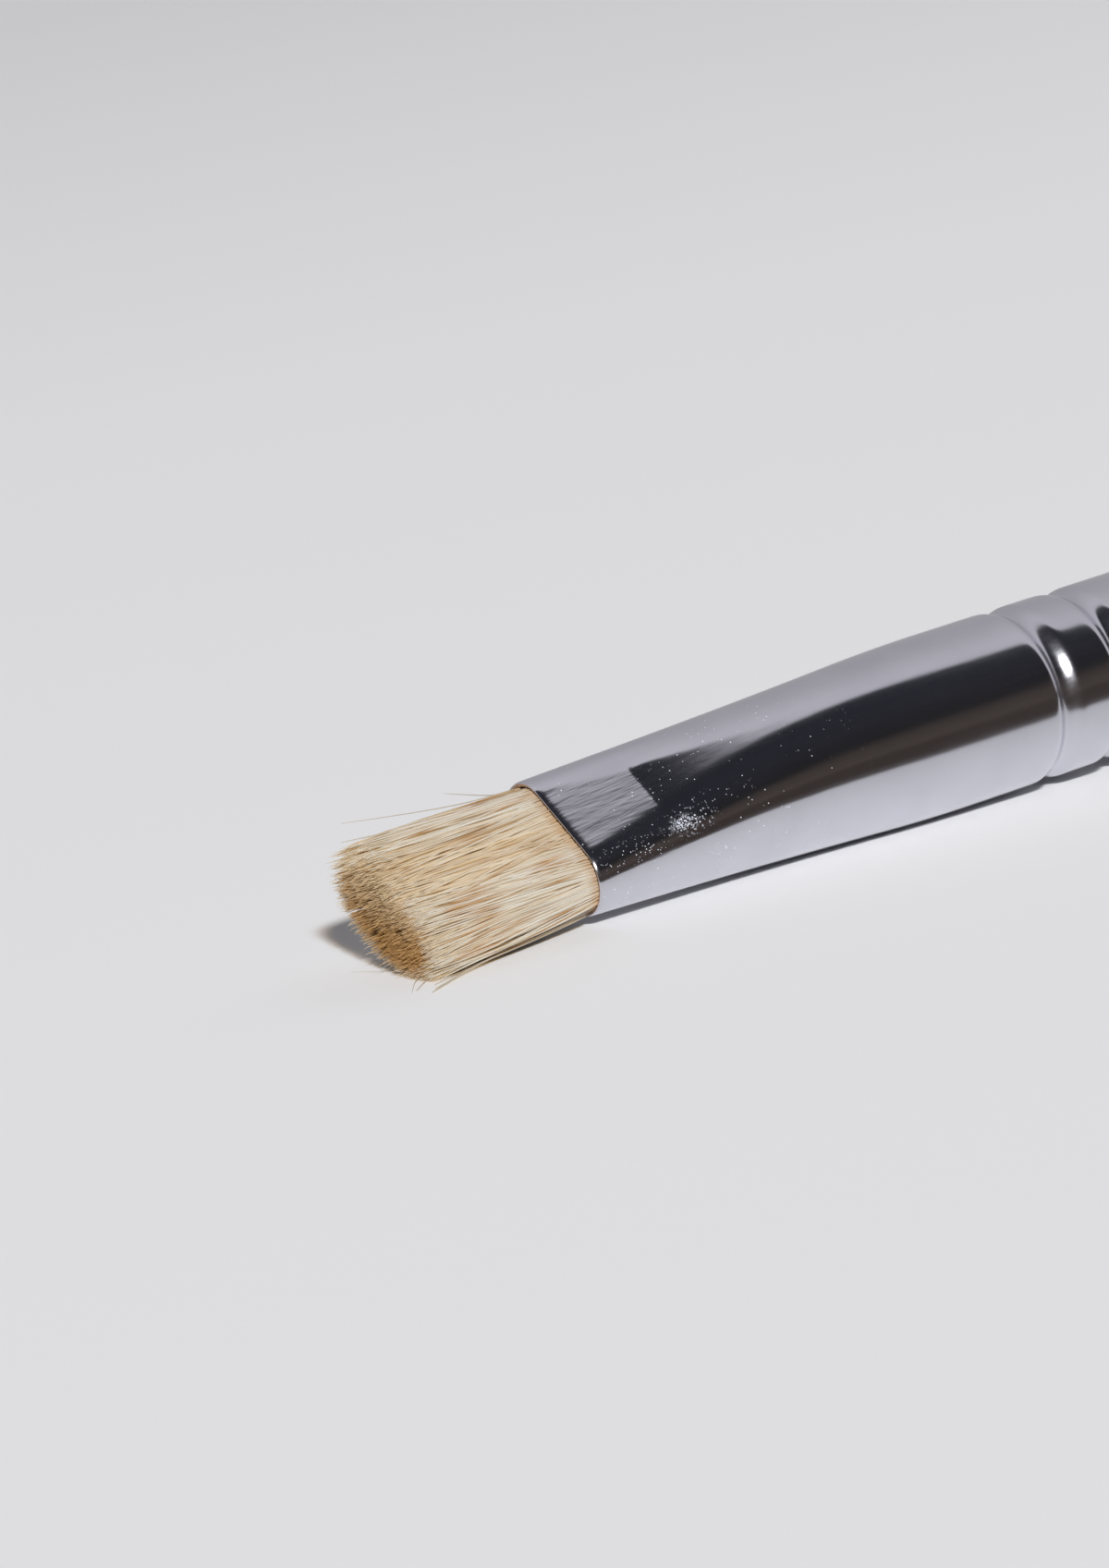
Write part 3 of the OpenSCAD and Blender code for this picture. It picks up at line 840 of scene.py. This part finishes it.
# Bristles that have left the tuft: the width of each, then [distance from the mouth, across,
# height] along it, root first
STRAYS = (
    (0.050, (-0.2, 3.0, 0.95), (-2.0, 3.0, 1.0), (-3.5, 3.0, 1.15), (-6.5, 3.0, 1.72),
     (-9.5, 3.0, 2.38)),
    (0.045, (-0.26, 3.3, 0.47), (-1.1, 3.4, 0.5), (-2.4, 3.5, 0.96), (-3.6, 3.6, 1.39)),
    (0.060, (-6.0, 2.45, 1.35), (-8.1, 2.6, 1.46), (-9.5, 2.7, 1.52)),
    (0.100, (-0.3, -3.3, -0.8), (-3.5, -3.8, -0.6), (-6.4, -4.1, -0.38), (-8.3, -4.75, 0.0),
     (-9.96, -5.44, 0.53)),
    (0.090, (-0.3, -3.2, -0.9), (-3.5, -3.75, -0.68), (-6.4, -4.05, -0.48), (-8.2, -4.6, -0.15),
     (-9.6, -5.2, 0.3)),
    (0.070, (-0.3, -3.1, -1.0), (-3.5, -3.6, -0.9), (-6.3, -3.9, -0.7), (-8.0, -4.3, -0.45),
     (-9.2, -4.7, -0.1)),
    (0.055, (-7.5, -3.2, -0.9), (-9.2, -4.05, -0.48), (-10.2, -4.75, 0.03)),
    (0.050, (-8.0, -3.0, -1.2), (-9.3, -3.6, -0.9), (-10.5, -4.84, 0.12)),
    (0.025, (-8.0, -1.5, -1.9), (-9.1, -1.6, -2.3), (-9.84, -0.3, -3.3)),
)
STRAY_RINGS = 14


def strays(hair):
    """Single bristles beside the tuft, some of them lying on the table."""
    rng = np.random.default_rng(31)
    along = np.linspace(0, 1, STRAY_RINGS)
    paths = []
    for _, *points in STRAYS:
        knots = np.linspace(0, 1, len(points))
        paths.append(np.stack([np.interp(along, knots, column) for column in zip(*points)], -1))
    paths = np.array(paths)
    for _ in range(4):
        paths[:, 1:-1] = (paths[:, :-2] + 2 * paths[:, 1:-1] + paths[:, 2:]) / 4
    widths = np.array([width for width, *_ in STRAYS])[:, None] * (1 - 0.6 * along**2)[None, :]
    tints = mix_colours(LOOSE_GREY, STRAW, rng.uniform(0, 0.4, len(paths)))
    tints = np.repeat(tints[:, None, :], STRAY_RINGS, 1)
    bristle_piece("tuft_strays", rested(paths), widths, tints, hair)


# ---------- handle ----------


def eased_run(x, r, to_x, to_r, steps):
    """Points of a curve that leaves one radius and reaches the next one without a corner."""
    shares = [k / steps for k in range(1, steps + 1)]
    return [(x + (to_x - x) * share, r + (to_r - r) * (1 - math.cos(math.pi * share)) / 2)
            for share in shares]


def handle_outline():
    """Half of the handle's section as [distance, radius], from its tenon to its rounded tail."""
    tenon = FERRULE_LEN - TENON_LEN
    seam = FERRULE_LEN + SEAM
    shoulder = seam + SHOULDER_EDGE
    belly = FERRULE_LEN + BELLY_REACH
    tail = FERRULE_LEN + HANDLE_LEN - TAIL_R - TAIL_LEN
    outline = [(tenon, 0.0), (tenon, TENON_R - TENON_CHAMFER), (tenon + TENON_CHAMFER, TENON_R)]
    for c in CRIMPS:
        for k in range(9):
            dip = CRIMP_DEPTH * (1 - math.cos(2 * math.pi * k / 8)) / 2
            outline.append((c + CRIMP_W * (k / 8 - 0.5), TENON_R - dip))
    outline += [(seam, TENON_R), (seam, SHOULDER_R - SHOULDER_EDGE), (shoulder, SHOULDER_R)]
    outline += eased_run(shoulder, SHOULDER_R, belly, BELLY_R, 32)
    outline += eased_run(belly, BELLY_R, tail, TAIL_R, 64)
    for k in range(13):
        turn = math.pi / 2 * k / 12
        outline.append((tail + TAIL_LEN + TAIL_R * math.sin(turn), TAIL_R * math.cos(turn)))
    return outline


def turned_handle():
    """The handle's outline is drawn once and spun about the brush's axis, as on a lathe."""
    outline = handle_outline()
    mesh = bpy.data.meshes.new("handle_turned")
    mesh.from_pydata([(x, 0, r) for x, r in outline],
                     [(k, k + 1) for k in range(len(outline) - 1)], [])
    piece = new_piece("handle_turned", mesh)
    take_up(piece)
    bpy.ops.object.mode_set(mode="EDIT")
    bpy.ops.mesh.select_all(action="SELECT")
    bpy.ops.mesh.spin(steps=128, angle=2 * math.pi, center=(0, 0, 0), axis=(1, 0, 0))
    bpy.ops.mesh.select_all(action="SELECT")
    bpy.ops.mesh.remove_doubles(threshold=1e-4)
    bpy.ops.mesh.normals_make_consistent(inside=False)
    bpy.ops.object.mode_set(mode="OBJECT")
    bpy.ops.object.shade_smooth_by_angle(angle=math.radians(35))
    piece.data.materials.append(black_lacquer())
    piece.data.materials.append(bare_tenon_wood())
    for polygon in piece.data.polygons:
        polygon.material_index = 1 if polygon.center.x < FERRULE_LEN else 0
    finish_piece(piece, "handle_turned", "handle")


# ---------- stage ----------


def table():
    deselect_all()
    bpy.ops.mesh.primitive_plane_add(size=6)
    top = bpy.context.object
    top.name = top.data.name = "table"
    top.data.materials.append(table_surface())


def surroundings():
    """A pale sweep over the far side ends in a straight edge overhead; the near side is dark."""
    world = bpy.data.worlds.new("studio")
    bpy.context.scene.world = world
    world.use_nodes = True
    world.node_tree.nodes.clear()
    room = Nodes(world.node_tree)
    view = room.node("TexCoord").outputs["Generated"]
    beyond = room.node("VectorMath", operation="DOT_PRODUCT")
    room.feed(view, beyond.inputs[0])
    room.feed(SWEEP_EDGE, beyond.inputs[1])
    beyond = beyond.outputs["Value"]
    sweep = room.ramp(beyond, (0.0, (0.64, 0.625, 0.65)), (0.25, (0.60, 0.59, 0.615)),
                      (0.6, (0.49, 0.48, 0.50)), (1.0, (0.40, 0.395, 0.41)))
    dim = room.ramp(room.axis(view, "Z"), (0.0, (0.085, 0.068, 0.060)),
                    (0.22, (0.060, 0.048, 0.042)), (0.34, (0.020, 0.019, 0.020)),
                    (0.8, (0.026, 0.027, 0.035)), (1.0, (0.026, 0.026, 0.033)))
    in_sweep = room.share(beyond, SWEEP_START - SWEEP_SOFT, SWEEP_START + SWEEP_SOFT)
    path = room.node("LightPath")
    around = room.node("Background")
    room.feed(room.blend(in_sweep, dim, sweep), around.inputs["Color"])
    room.feed(room.grey_range(path.outputs["Is Diffuse Ray"], 1.0, 0.72), around.inputs["Strength"])
    backdrop = room.node("Background", Color=(0.66, 0.66, 0.675, 1))
    seen = room.blend_shaders(path.outputs["Is Camera Ray"], around, backdrop)
    room.feed(seen.outputs[0], room.node("OutputWorld").inputs["Surface"])


def key_lamp():
    """A round lamp over the near left, small enough for the shadow's edge to stay readable."""
    aim, distance = Vector((-0.06, 0, 0)), 12
    towards = Vector((-0.3292, -0.7876, 0.5209)).normalized()
    light = bpy.data.lights.new("key", "AREA")
    light.shape, light.size, light.energy = "DISK", 1.0, 1980.0
    light.color = (1.0, 0.995, 0.985)
    lamp = bpy.data.objects.new("key", light)
    lamp.location = aim + towards * distance
    lamp.rotation_euler = towards.to_track_quat("Z", "Y").to_euler()
    bpy.context.scene.collection.objects.link(lamp)


def camera():
    """The photograph's view: low over the table, leaning a little, the mouth below the middle."""
    stand = (-0.2203366, -0.2329643, 0.0665338)
    right = Vector((0.81472, -0.56512, -0.12989))
    back = Vector((-0.53152, -0.81737, 0.22225)).normalized()
    right = (right - back * right.dot(back)).normalized()
    sensor_mm, height_px, focal_px = 36, 1697, 7237.45
    down_px, left_px = 72.67, -1.97
    turn = Matrix((right, back.cross(right), back)).transposed()
    turn = turn @ Matrix.Rotation(math.atan(down_px / focal_px), 3, "X")
    turn = turn @ Matrix.Rotation(math.atan(left_px / focal_px), 3, "Y")
    lens = bpy.data.cameras.new("camera")
    lens.sensor_width = sensor_mm
    lens.lens = sensor_mm * focal_px / height_px
    lens.clip_start, lens.clip_end = 0.005, 20
    eye = bpy.data.objects.new("camera", lens)
    eye.matrix_world = Matrix.Translation(stand) @ turn.to_4x4()
    bpy.context.scene.collection.objects.link(eye)
    bpy.context.scene.camera = eye


bpy.context.scene.view_settings.view_transform = "Standard"
camera()
surroundings()
key_lamp()
table()
pressed_ferrule()
inner_bristle = natural_bristle("inner_bristle", INNER_SHADOW_LOSS)
outer_bristle = natural_bristle("natural_bristle", OUTER_SHADOW_LOSS)
tuft(inner_bristle, outer_bristle)
strays(outer_bristle)
turned_handle()
for node_name, finish in (("root_tie", waxed_thread()), ("epoxy_plug", cured_resin()),
                          ("glue_sleeve", glue_film())):
    for slot_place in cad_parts[node_name].material_slots:
        slot_place.material = finish
